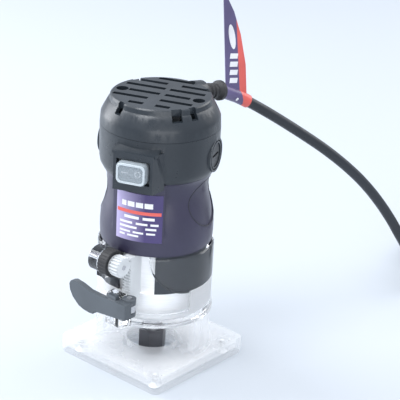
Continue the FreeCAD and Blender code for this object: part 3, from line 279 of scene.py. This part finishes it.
MATERIALS = {
    "clear": clear("clear_acrylic"),
    # A darker grey clear finish for bevelled edges: painted shade that draws the flange's edges
    # as grey lines.
    "clear_edge_shade": clear("clear_edge_shade", (0.76, 0.81, 0.86), 0.35, 0.80),
    "clear_sleeve": glassy("clear_sleeve"),
    "black": moulded("black_plastic", (0.020, 0.023, 0.027), (0.30, 0.42)),
    "slate": moulded("slate_plastic", (0.021, 0.027, 0.034), (0.26, 0.38)),
    "purple": moulded("purple_plastic", (0.036, 0.033, 0.064), (0.28, 0.38)),
    "skirt": moulded("skirt_plastic", (0.040, 0.047, 0.057), (0.42, 0.52)),
    "aluminium": metal("cast_aluminium", (1.0, 1.0, 1.0), (0.58, 0.70)),
    "steel": metal("plated_steel", (0.62, 0.62, 0.64)),
    "black_steel": metal("oxide_steel", (0.13, 0.13, 0.14), (0.30, 0.45)),
    "brass": metal("brass", (0.78, 0.60, 0.30)),
    "copper": metal("copper", (0.80, 0.45, 0.30)),
    "rubber": moulded("black_rubber", (0.022, 0.022, 0.024), (0.50, 0.65), 1800, 0.5),
    "cord": moulded("cord_sheath", (0.017, 0.021, 0.027), (0.36, 0.48), 1500, 0.4),
    "carbon": moulded("carbon", (0.03, 0.03, 0.03), (0.6, 0.7)),
    # The label's pale second tone is a painted reflection on its left end.
    "label": label_foil("label_foil", (0.062, 0.045, 0.150), (0.52, 0.46, 0.70)),
    "bright_steel": metal("bright_steel", (0.95, 0.96, 0.97), (0.50, 0.60)),
    "rocker": moulded("rocker_plastic", (0.10, 0.11, 0.12), (0.20, 0.30)),
    "boot_rim": clear("boot_rim", (0.74, 0.80, 0.83), 0.45, 0.95, (0.12, 0.2)),
    "boot": clear("clear_boot", (0.50, 0.56, 0.60), 0.30, 0.85, (0.16, 0.28)),
    "laminate": laminated("lamination"),
    "winding": wound("winding_wire", (0.42, 0.16, 0.06)),
    "nylon": moulded("nylon", (0.70, 0.72, 0.73), (0.30, 0.42), 2600, 0.2, 0.05),
    "tag": moulded("tag_strip", (0.105, 0.085, 0.190), (0.30, 0.40), 900, 0.1),
    # The lever is black plastic shown in a lighter grey: a painted highlight for the broad sheen
    # on its front.
    "lever": moulded("lever_painted_sheen", (0.085, 0.097, 0.110), (0.12, 0.20)),
    "print": moulded("white_print", (0.82, 0.82, 0.84), (0.35, 0.45), 900, 0.1),
    "stripe": moulded("red_print", (0.72, 0.12, 0.10), (0.30, 0.40), 900, 0.1),
}


def dress(piece, finish):
    piece.data.materials.clear()
    piece.data.materials.append(MATERIALS[finish])


# Nodes that are shown in another finish than their slot's own.
NODE_FINISH = {"sole_screws": "bright_steel"}


def node_slots():
    return {entry["node"]: entry["material_slot"] for entry in frame["record"]["subparts"]}


def dress_nodes():
    """Every CAD node gets the material of its own slot."""
    for name, slot in node_slots().items():
        part = frame["nodes"][name]
        finish = MATERIALS[NODE_FINISH.get(name, slot)]
        for index in range(len(part.material_slots)):
            part.material_slots[index].material = finish
        if not part.material_slots:
            part.data.materials.append(finish)


# ---- mesh helpers ----------------------------------------------------------------------------


TOUCH = 1e-6   # points closer than this are one point


def add_piece(name, mesh, body, finish):
    piece = bpy.data.objects.new(name, mesh)
    bpy.context.collection.objects.link(piece)
    dress(piece, finish)
    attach(piece, body)
    return piece


def mesh_from(shape, name):
    """Turn a bmesh into a mesh, and free it."""
    mesh = bpy.data.meshes.new(name)
    shape.to_mesh(mesh)
    shape.free()
    return mesh


def smooth(mesh, degrees=35):
    mesh.polygons.foreach_set("use_smooth", [True] * len(mesh.polygons))
    mesh.set_sharp_from_angle(angle=math.radians(degrees))


def clean(mesh):
    """Weld doubled points and drop the edges that only triangulate a flat face."""
    shape = bmesh.new()
    shape.from_mesh(mesh)
    bmesh.ops.remove_doubles(shape, verts=shape.verts, dist=TOUCH)
    bmesh.ops.dissolve_limit(shape, angle_limit=math.radians(1.0), verts=shape.verts,
                             edges=shape.edges)
    shape.to_mesh(mesh)
    shape.free()
    smooth(mesh, 30)


def add_bevel(piece, width):
    """Round the edges that turn by more than 32 degrees; width is in millimetres."""
    bevel = piece.modifiers.new("edges", "BEVEL")
    bevel.width = width * MM
    bevel.segments = 2
    bevel.limit_method = "ANGLE"
    bevel.angle_limit = math.radians(32)
    bevel.harden_normals = True
    return bevel


def softened(name, width, finish=None):
    """A copy of a node with its edges rounded, shown in the node's place."""
    source = frame["nodes"][name]
    mesh = source.data.copy()
    mesh.materials.clear()
    clean(mesh)
    piece = add_piece(name + "_soft", mesh, source["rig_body"], finish or node_slots()[name])
    add_bevel(piece, width)
    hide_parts(name)
    return piece


# ---- clear base and nose ---------------------------------------------------------------------

NOSE_WALL = 0.0324      # points of the nose further out than this are on its outer wall
NOSE_SHOWN = 0.03265    # where that wall is shown
PLATE_TOP = 0.0117
JOIN_DEPTH = 0.0001     # how far the joined parts reach into each other
SEAM_FROM = 0.036       # points of the sole further out than this are on its rim
SEAM_SHRINK = 0.991     # the rim is drawn in by this, so that the seam stays visible


def fill_sleeve(piece):
    """Push the nose's outer wall into the sleeve's bore, as the sleeve's lens makes it look."""
    for vertex in piece.data.vertices:
        out = math.hypot(vertex.co.x, vertex.co.y)
        if out > NOSE_WALL:
            vertex.co.x *= NOSE_SHOWN / out
            vertex.co.y *= NOSE_SHOWN / out


def add_clear_flange():
    """The flange, its sole and the two pillars, joined into one softened piece.

    Joined, the clear parts have no doubled faces inside them to darken what is under them.
    """
    copies = []
    for name in ("base_plate", "base_pillars", "sole_plate"):
        mesh = frame["nodes"][name].data.copy()
        mesh.materials.clear()
        thing = bpy.data.objects.new(name + "_copy", mesh)
        bpy.context.collection.objects.link(thing)
        copies.append(thing)
    flange, pillars, sole = copies
    for vertex in pillars.data.vertices:
        if abs(vertex.co.z - PLATE_TOP) < TOUCH:
            vertex.co.z -= JOIN_DEPTH
    sole_top = max(vertex.co.z for vertex in sole.data.vertices)
    for vertex in sole.data.vertices:
        if abs(vertex.co.z - sole_top) < TOUCH:
            vertex.co.z += JOIN_DEPTH
        if max(abs(vertex.co.x), abs(vertex.co.y)) > SEAM_FROM:
            vertex.co.x *= SEAM_SHRINK
            vertex.co.y *= SEAM_SHRINK
    for other in (pillars, sole):
        union = flange.modifiers.new("join", "BOOLEAN")
        union.operation = "UNION"
        union.solver = "EXACT"
        union.object = other
    bpy.context.view_layer.update()
    mesh = bpy.data.meshes.new_from_object(flange.evaluated_get(
        bpy.context.evaluated_depsgraph_get()))
    for thing in copies:
        bpy.data.objects.remove(thing)
    clean(mesh)
    piece = add_piece("clear_flange", mesh, "base", "clear")
    # The bevels get the darker grey finish: painted shade along the flange's edges.
    mesh.materials.append(MATERIALS["clear_edge_shade"])
    add_bevel(piece, 0.5).material = 1
    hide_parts("base_plate", "base_pillars", "sole_plate")


# ---- label -----------------------------------------------------------------------------------

LABEL_LEFT = -112.2     # degrees round the motor
LABEL_RIGHT = -63.5
LABEL_RADIUS = 0.0369
STRIPE_LOW = 0.1138
STRIPE_HIGH = 0.1160
STRIPE_MARGIN = 0.03    # share of the label's width left at each end of the stripe
PRINT_THICK = 0.00015
LABEL_ROWS = (
    # low, tall, then where each printed bar starts and ends across the label
    (0.1184, 0.0034, ((0.14, 0.24), (0.27, 0.42), (0.45, 0.60), (0.63, 0.80))),
    (0.1104, 0.0018, ((0.20, 0.52), (0.60, 0.84))),
    (0.1068, 0.0014, ((0.10, 0.38), (0.46, 0.70), (0.76, 0.92))),
    (0.1038, 0.0014, ((0.10, 0.48), (0.66, 0.88))),
    (0.1008, 0.0012, ((0.10, 0.34), (0.40, 0.62), (0.68, 0.86))),
    (0.0984, 0.0012, ((0.10, 0.22), (0.28, 0.52))),
)


def label_patch(name, low, high, start, end, finish):
    """A thin printed patch between two heights and two shares of the label's width."""
    span = LABEL_RIGHT - LABEL_LEFT
    left = LABEL_LEFT + start * span
    right = LABEL_LEFT + end * span
    steps = max(2, int(abs(right - left) / 2))
    shape = bmesh.new()
    columns = []
    for step in range(steps + 1):
        angle = math.radians(left + (right - left) * step / steps) + MOTOR_TURN
        column = []
        for reach in (LABEL_RADIUS, LABEL_RADIUS + PRINT_THICK):
            for height in (low, high):
                column.append(shape.verts.new((reach * math.cos(angle), reach * math.sin(angle),
                                               height)))
        columns.append(column)
    for one, two in zip(columns, columns[1:]):
        for a, b in ((2, 3), (1, 0), (3, 1), (0, 2)):
            shape.faces.new((one[a], two[a], two[b], one[b]))
    for column, order in ((columns[0], (0, 2, 3, 1)), (columns[-1], (0, 1, 3, 2))):
        shape.faces.new([column[i] for i in order])
    bmesh.ops.recalc_face_normals(shape, faces=shape.faces)
    mesh = mesh_from(shape, name)
    smooth(mesh, 35)
    add_piece(name, mesh, "motor", finish)


def add_label_print():
    """Plain bars and a stripe where the real label is printed; there is no lettering."""
    label_patch("label_stripe", STRIPE_LOW, STRIPE_HIGH, STRIPE_MARGIN, 1 - STRIPE_MARGIN,
                "stripe")
    for row, (low, tall, bars) in enumerate(LABEL_ROWS):
        for index, (start, end) in enumerate(bars):
            label_patch(f"label_bar_{row}_{index}", low, low + tall, start, end, "print")


# ---- tag on the cord -------------------------------------------------------------------------

TAG_START = 0.0018      # along the cord from its first point
TAG_END = 0.0087        # along the cord from its second point
TAG_BEVEL = 0.12
BORDER_LOW = (15.6, -9)     # across and up the tag, in millimetres, on the red border's edge
BORDER_HIGH = (9.8, 36.4)
MARK_OUT = 0.36
MARK_LOW = 4.5
MARK_PITCH = 5.6
MARK_LEFT = 5.4
MARK_LEAN = 0.25
MARK_CORNERS = ((0, 0), (6.4, -1.0), (6.8, 2.4), (0.4, 3.4))
OVAL_CENTRE = (5.6, 35.8)
OVAL_HALF = (2.5, 8.6)
OVAL_LEAN = 2.0
RIVET_RADIUS = 0.0013
RIVET_OUT = 0.0042
RIVET_SHARE = 0.72      # of the way from the sleeve's start to its bend
RIVET_DOWN = 0.5


def plate_on(name, corners, out, thick=0.0002):
    """A thin plate from an outline of points, raised along out."""
    shape = bmesh.new()
    low = [shape.verts.new(corner) for corner in corners]
    high = [shape.verts.new(Vector(corner) + out * thick) for corner in corners]
    shape.faces.new(high)
    shape.faces.new(list(reversed(low)))
    for i in range(len(low)):
        n = (i + 1) % len(low)
        shape.faces.new((low[i], low[n], high[n], high[i]))
    bmesh.ops.recalc_face_normals(shape, faces=shape.faces)
    add_piece(name, mesh_from(shape, name), "motor", "print")


def add_tag():
    """The strip round the cord: purple with a red border, a rivet and plain white marks."""
    bend = Vector(ROUTE[1])
    start = Vector(ROUTE[0])
    start += (bend - start).normalized() * TAG_START
    end = bend + (Vector(ROUTE[2]) - bend).normalized() * TAG_END
    along = Vector((end.x - start.x, end.y - start.y, 0)).normalized()
    across = Vector((along.y, -along.x, 0))

    def place(u, h, out=0.0):
        return start + along * u * MM + Vector((0, 0, h * MM)) + across * out * MM

    piece = softened("cord_tag", TAG_BEVEL)
    mesh = piece.data
    low, high = place(*BORDER_LOW), place(*BORDER_HIGH)
    cut_across = (high - low).cross(across).normalized()
    if cut_across.dot(along) < 0:
        cut_across.negate()
    shape = bmesh.new()
    shape.from_mesh(mesh)
    bmesh.ops.bisect_plane(shape, geom=shape.verts[:] + shape.edges[:] + shape.faces[:],
                           plane_co=low, plane_no=cut_across, dist=TOUCH)
    for face in shape.faces:
        if (face.calc_center_median() - low).dot(cut_across) > 0:
            face.material_index = 1
    shape.to_mesh(mesh)
    shape.free()
    mesh.materials.append(MATERIALS["stripe"])

    # Slanted white blocks up the strip, and an oval mark above them.
    for index in range(4):
        low_h = MARK_LOW + MARK_PITCH * index
        left = MARK_LEFT - MARK_LEAN * index
        corners = [place(left + a, low_h + b, MARK_OUT) for a, b in MARK_CORNERS]
        plate_on(f"tag_mark_{index}", corners, across)
    oval = []
    for step in range(20):
        angle = 2 * math.pi * step / 20
        u = OVAL_CENTRE[0] + OVAL_HALF[0] * math.cos(angle) - OVAL_LEAN * math.sin(angle)
        oval.append(place(u, OVAL_CENTRE[1] + OVAL_HALF[1] * math.sin(angle), MARK_OUT))
    plate_on("tag_mark_oval", oval, across)

    # Rivet: a shallow dome on the side of the folded sleeve.
    shape = bmesh.new()
    bmesh.ops.create_uvsphere(shape, u_segments=20, v_segments=10, radius=RIVET_RADIUS)
    mesh = mesh_from(shape, "tag_rivet")
    smooth(mesh, 60)
    centre = start + (bend - start) * RIVET_SHARE
    out = (across - UP * RIVET_DOWN).normalized()
    mesh.transform(Matrix.Translation(centre + out * RIVET_OUT) @
                   out.to_track_quat("Z", "Y").to_matrix().to_4x4() @
                   Matrix.Scale(0.5, 4, UP))
    add_piece("tag_rivet", mesh, "motor", "print")
    return piece


# ---- grip shade lines and switch -------------------------------------------------------------

# Millimetres in the motor's own frame, where -Y is the switch side.
GRIP_HEIGHT = 115.0
GRIP_HALF = (18.5, 15.5)
GRIP_OUTSIDE = 60
GRIP_POINTS = 60
GRIP_SHADE_LINE = 0.00022     # radius of the line, in metres
RIM_PLACE = (0, -47.85, 144.5)
RIM_OUTER = (0.0093, 0.0065)
RIM_INNER = (0.0080, 0.0052)
RIM_CORNER = 0.0030
RIM_HIGH = 0.0009
MARK_PLACE = (0, -46.6, 144.5)
MARK_ASIDE = 0.0042
MARK_THICK = 0.0003
OFF_OUTER = 0.0021
OFF_INNER = 0.0014
OFF_CORNER = 0.0020
ON_HALF = (0.0024, 0.0003)


def motor_point(x, y, z):
    """A point given in millimetres in the motor's own frame, in the row frame in metres."""
    turned = Matrix.Rotation(MOTOR_TURN, 3, "Z") @ Vector((x, y, z))
    return turned * MM


def ring_plate(name, centre, outer, inner, corner, thick, finish):
    """A flat rounded frame on the motor's switch side: outer and inner half sizes in metres."""
    across = motor_point(1000, 0, 0)
    out = motor_point(0, -1000, 0)
    shape = bmesh.new()
    rings = []
    for half, round_off, lift in ((outer, corner, 0), (outer, corner, thick),
                                  (inner, corner * 0.8, thick), (inner, corner * 0.8, 0)):
        ring = []
        for quarter in range(4):
            sx, sy = ((1, 1), (-1, 1), (-1, -1), (1, -1))[quarter]
            for step in range(7):
                angle = math.pi / 2 * (quarter + step / 6)
                u = sx * (half[0] - round_off) + round_off * math.cos(angle)
                v = sy * (half[1] - round_off) + round_off * math.sin(angle)
                ring.append(shape.verts.new(centre + across * u + UP * v + out * lift))
        rings.append(ring)
    count = len(rings[0])
    for one, two in zip(rings, rings[1:] + rings[:1]):
        for i in range(count):
            n = (i + 1) % count
            shape.faces.new((one[i], one[n], two[n], two[i]))
    bmesh.ops.recalc_face_normals(shape, faces=shape.faces)
    mesh = mesh_from(shape, name)
    smooth(mesh, 40)
    add_bevel(add_piece(name, mesh, "motor", finish), 0.25)


def add_grip_shade_lines(housing):
    """The dark line of painted shade that edges the oval grip recess on each side of the housing,
    where the recess's step casts its shadow.
    """
    for index, side in enumerate((-1, 1)):
        inwards = motor_point(-1000 * side, 0, 0)
        line = []
        for step in range(GRIP_POINTS + 1):
            angle = 2 * math.pi * step / GRIP_POINTS
            start = motor_point(GRIP_OUTSIDE * side, GRIP_HALF[0] * math.cos(angle),
                                GRIP_HEIGHT + GRIP_HALF[1] * math.sin(angle))
            found, spot = housing.ray_cast(start, inwards)[:2]
            if found:
                line.append(spot)
        # Each line is a dark tube of painted shade laid along the recess's edge.
        mesh = tube("grip_shade_line", line, GRIP_SHADE_LINE, 8)
        add_piece(f"grip_shade_line_{index}", mesh, "motor", "black")


def add_switch_marks():
    """The boot's raised rim, and the I and O marks seen through it."""
    across = motor_point(1000, 0, 0)
    ring_plate("boot_rim", motor_point(*RIM_PLACE), RIM_OUTER, RIM_INNER, RIM_CORNER, RIM_HIGH,
               "boot_rim")
    inside = motor_point(*MARK_PLACE)
    ring_plate("mark_off", inside + across * MARK_ASIDE, (OFF_OUTER, OFF_OUTER),
               (OFF_INNER, OFF_INNER), OFF_CORNER, MARK_THICK, "print")
    half, tall = ON_HALF
    corners = [inside - across * MARK_ASIDE + across * a + UP * b for a, b in
               ((-half, -tall), (half, -tall), (half, tall), (-half, tall))]
    plate_on("mark_on", corners, motor_point(0, -1000, 0), MARK_THICK)


# ---- cord ------------------------------------------------------------------------------------

ROUTE = (
    (0.0007, 0.0562, 0.1705),
    (0.0024, 0.0726, 0.1629),
    (0.0090, 0.0910, 0.1514),
    (0.0208, 0.1155, 0.1334),
    (0.0340, 0.1406, 0.1132),
    (0.0464, 0.1634, 0.0902),
    (0.0558, 0.1826, 0.0640),
    (0.0624, 0.1964, 0.0396),
    (0.0684, 0.2074, 0.0206),
    (0.0740, 0.2176, 0.0094),
    (0.0789, 0.2265, 0.0038),
    (0.0834, 0.2347, 0.0038),
)
CORD_DIAMETER = 0.0072
COIL_RADIUS = 0.0324
COIL_STUB = 0.025       # from the route's end to the coil
TURN_POINTS = 16        # points in one turn of the coil
STEP_POINTS = 4         # the last of them, over which the cord steps to its next ring
# The plug lies across the coil: its heading from the route's last run, and its cord end from the
# coil's centre, along and across that heading.
PLUG_TURN = math.radians(-121)
PLUG_RISE = math.radians(15)
PLUG_BACK = 0.0128
PLUG_ASIDE = 0.0160
PLUG_HEIGHT = 0.0328
PLUG_STRAIGHT = 0.006
CLIMB_POINTS = 6
TAIL_POINTS = 6
TAIL_RADIUS = 0.0219
TAIL_START = math.radians(155.3)


def coil_points():
    """Turns of the put-away coil, out and in by layers, then the tail up to the plug."""
    end = Vector(ROUTE[-1])
    way = (end - Vector(ROUTE[-2])).normalized()
    side = Vector((-way.y, way.x, 0))
    outer = COIL_RADIUS + CORD_DIAMETER / 2
    inner = COIL_RADIUS - CORD_DIAMETER / 2
    centre = end + way * COIL_STUB + side * outer
    centre.z = 0
    heights = [end.z + CORD_DIAMETER * layer for layer in range(4)]
    rings = [(outer, heights[0]), (inner, heights[0]), (inner, heights[1]), (outer, heights[1]),
             (outer, heights[2]), (inner, heights[2]), (inner, heights[3]), (outer, heights[3])]
    points = []
    for (radius, height), after in zip(rings, rings[1:]):
        for step in range(TURN_POINTS):
            angle = 2 * math.pi * step / TURN_POINTS
            shift = max(0.0, (step - (TURN_POINTS - STEP_POINTS)) / STEP_POINTS)
            reach = radius + (after[0] - radius) * shift
            lift = height + (after[1] - height) * shift
            out = way * math.sin(angle) - side * math.cos(angle)
            points.append(centre + out * reach + Vector((0, 0, lift)))
    level = Matrix.Rotation(PLUG_TURN, 3, "Z") @ way
    beside = Vector((-level.y, level.x, 0))
    start = math.atan2(-side.dot(beside), -side.dot(level))
    for step in range(CLIMB_POINTS):
        share = step / (CLIMB_POINTS - 1)
        angle = start + (TAIL_START - start) * share
        out = level * math.cos(angle) + beside * math.sin(angle)
        lift = heights[3] + (PLUG_HEIGHT - heights[3]) * (3 - 2 * share) * share ** 2
        points.append(centre + out * outer + Vector((0, 0, lift)))
    turning = centre - level * PLUG_BACK + beside * (TAIL_RADIUS - PLUG_ASIDE)
    for step in range(1, TAIL_POINTS):
        angle = TAIL_START + (1.5 * math.pi - TAIL_START) * step / TAIL_POINTS
        out = level * math.cos(angle) + beside * math.sin(angle)
        points.append(turning + out * TAIL_RADIUS + Vector((0, 0, PLUG_HEIGHT)))
    along = level * math.cos(PLUG_RISE) + Vector((0, 0, math.sin(PLUG_RISE)))
    tail = centre - level * PLUG_BACK - beside * PLUG_ASIDE
    tail.z = PLUG_HEIGHT
    points.append(tail - along * PLUG_STRAIGHT)
    points.append(tail)
    return points


def spline_line(points):
    """The line of an order 3 NURBS spline with these control points, as it is evaluated."""
    data = bpy.data.curves.new("cord_line", "CURVE")
    data.dimensions = "3D"
    data.resolution_u = 8
    spline = data.splines.new("NURBS")
    spline.points.add(len(points) - 1)
    for place, point in zip(spline.points, points):
        place.co = (*point, 1)
    spline.order_u = 3
    spline.use_endpoint_u = True
    holder = bpy.data.objects.new("cord_line", data)
    bpy.context.collection.objects.link(holder)
    bpy.context.view_layer.update()
    mesh = bpy.data.meshes.new_from_object(holder.evaluated_get(
        bpy.context.evaluated_depsgraph_get()))
    line = [v.co.copy() for v in mesh.vertices]
    bpy.data.objects.remove(holder)
    bpy.data.curves.remove(data)
    bpy.data.meshes.remove(mesh)
    return line


def tube(name, line, radius, sides=20):
    """A closed tube round a line, its rings carried along without twist."""
    verts = []
    faces = []
    ahead = (line[1] - line[0]).normalized()
    across = ahead.orthogonal().normalized()
    for i, point in enumerate(line):
        before = line[max(0, i - 1)]
        after = line[min(len(line) - 1, i + 1)]
        ahead = (after - before).normalized()
        across = (across - ahead * across.dot(ahead)).normalized()
        third = ahead.cross(across)
        for k in range(sides):
            angle = 2 * math.pi * k / sides
            verts.append(point + (across * math.cos(angle) + third * math.sin(angle)) * radius)
    for i in range(len(line) - 1):
        for k in range(sides):
            n = (k + 1) % sides
            faces.append((i * sides + k, i * sides + n, (i + 1) * sides + n, (i + 1) * sides + k))
    faces.append(tuple(reversed(range(sides))))
    faces.append(tuple((len(line) - 1) * sides + k for k in range(sides)))
    mesh = bpy.data.meshes.new(name)
    mesh.from_pydata([tuple(v) for v in verts], [], faces)
    mesh.update()
    smooth(mesh, 60)
    return mesh


def add_cord(plug, tag):
    """The whole cord in one piece, from the strain relief to the plug."""
    line = spline_line(list(map(Vector, ROUTE)) + coil_points())
    mesh = tube("cord", line, CORD_DIAMETER / 2)
    piece = bpy.data.objects.new("cord", mesh)
    bpy.context.collection.objects.link(piece)
    dress(piece, "cord")
    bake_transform(piece)
    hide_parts("cord_lead", "cord_coil")


# ---- stage -----------------------------------------------------------------------------------

FLOOR_HALF = 6.0
FLOOR_TONE = (0.50, 0.535, 0.575, 1)
WORLD_TONE = (0.86, 0.91, 1.0, 1)
WORLD_STRENGTH = 0.75
OBJECT_MIDDLE = (0, 0, 0.12)
COOL = (0.95, 0.97, 1.0)
LIGHTS = (
    # name, place, target, size, power, colour
    ("top", (0.0, 0.0, 2.0), (0, 0, 0), (2.2, 2.2), 25, COOL),
    ("left", (-1.2, -0.35, 0.6), OBJECT_MIDDLE, (0.8, 1.3), 20, (0.93, 0.96, 1.0)),
    ("key", (-0.15, -0.85, 1.6), OBJECT_MIDDLE, (0.6, 0.6), 12, COOL),
    ("front", (1.1, -1.0, 0.45), (0, 0, 0.03), (1.4, 0.7), 8, COOL),
    ("back", (0.3, 1.3, 0.9), OBJECT_MIDDLE, (0.9, 0.9), 7, (1, 1, 1)),
)


def add_floor():
    half = FLOOR_HALF
    mesh = bpy.data.meshes.new("floor")
    mesh.from_pydata([(-half, -half, 0), (half, -half, 0), (half, half, 0), (-half, half, 0)],
                     [], [(0, 1, 2, 3)])
    floor = bpy.data.objects.new("floor", mesh)
    bpy.context.collection.objects.link(floor)
    material, _, shader = new_material("floor_paper")
    shader.inputs["Base Color"].default_value = FLOOR_TONE
    shader.inputs["Roughness"].default_value = 0.55
    mesh.materials.append(material)


def area_light(name, place, target, size, power, colour):
    data = bpy.data.lights.new(name, "AREA")
    data.shape = "RECTANGLE"
    data.size = size[0]
    data.size_y = size[1]
    data.energy = power
    data.color = colour
    light = bpy.data.objects.new(name, data)
    aim = (Vector(target) - Vector(place)).normalized()
    turn = aim.to_track_quat("-Z", "Y").to_matrix().to_4x4()
    light.matrix_world = Matrix.Translation(place) @ turn
    bpy.context.collection.objects.link(light)


def add_lights():
    world = bpy.data.worlds.new("studio")
    world.use_nodes = True
    background = world.node_tree.nodes["Background"]
    background.inputs["Color"].default_value = WORLD_TONE
    background.inputs["Strength"].default_value = WORLD_STRENGTH
    bpy.context.scene.world = world
    for light in LIGHTS:
        area_light(*light)


def set_view():
    settings = bpy.context.scene.view_settings
    settings.view_transform = "Standard"
    settings.look = "None"


add_camera()
add_cord(softened("plug_body", 0.4), add_tag())
add_floor()
add_lights()
set_view()
dress_nodes()
add_clear_flange()
add_label_print()
add_switch_marks()
softened("base_sleeve", 0.4, "clear_sleeve")
# The lever's lighter finish is a painted highlight over its black plastic.
softened("clamp_lever", 0.9, "lever")
add_grip_shade_lines(softened("motor_housing", 0.5))
for part, width in (("label_plate", 0.1), ("switch_housing", 0.5), ("rear_cover", 0.4),
                    ("cord_gland", 0.3), ("switch_boot", 0.5), ("collet_nut", 0.2)):
    softened(part, width)
for part in ("nose_skirt", "nose_casing"):
    fill_sleeve(softened(part, 0.2))
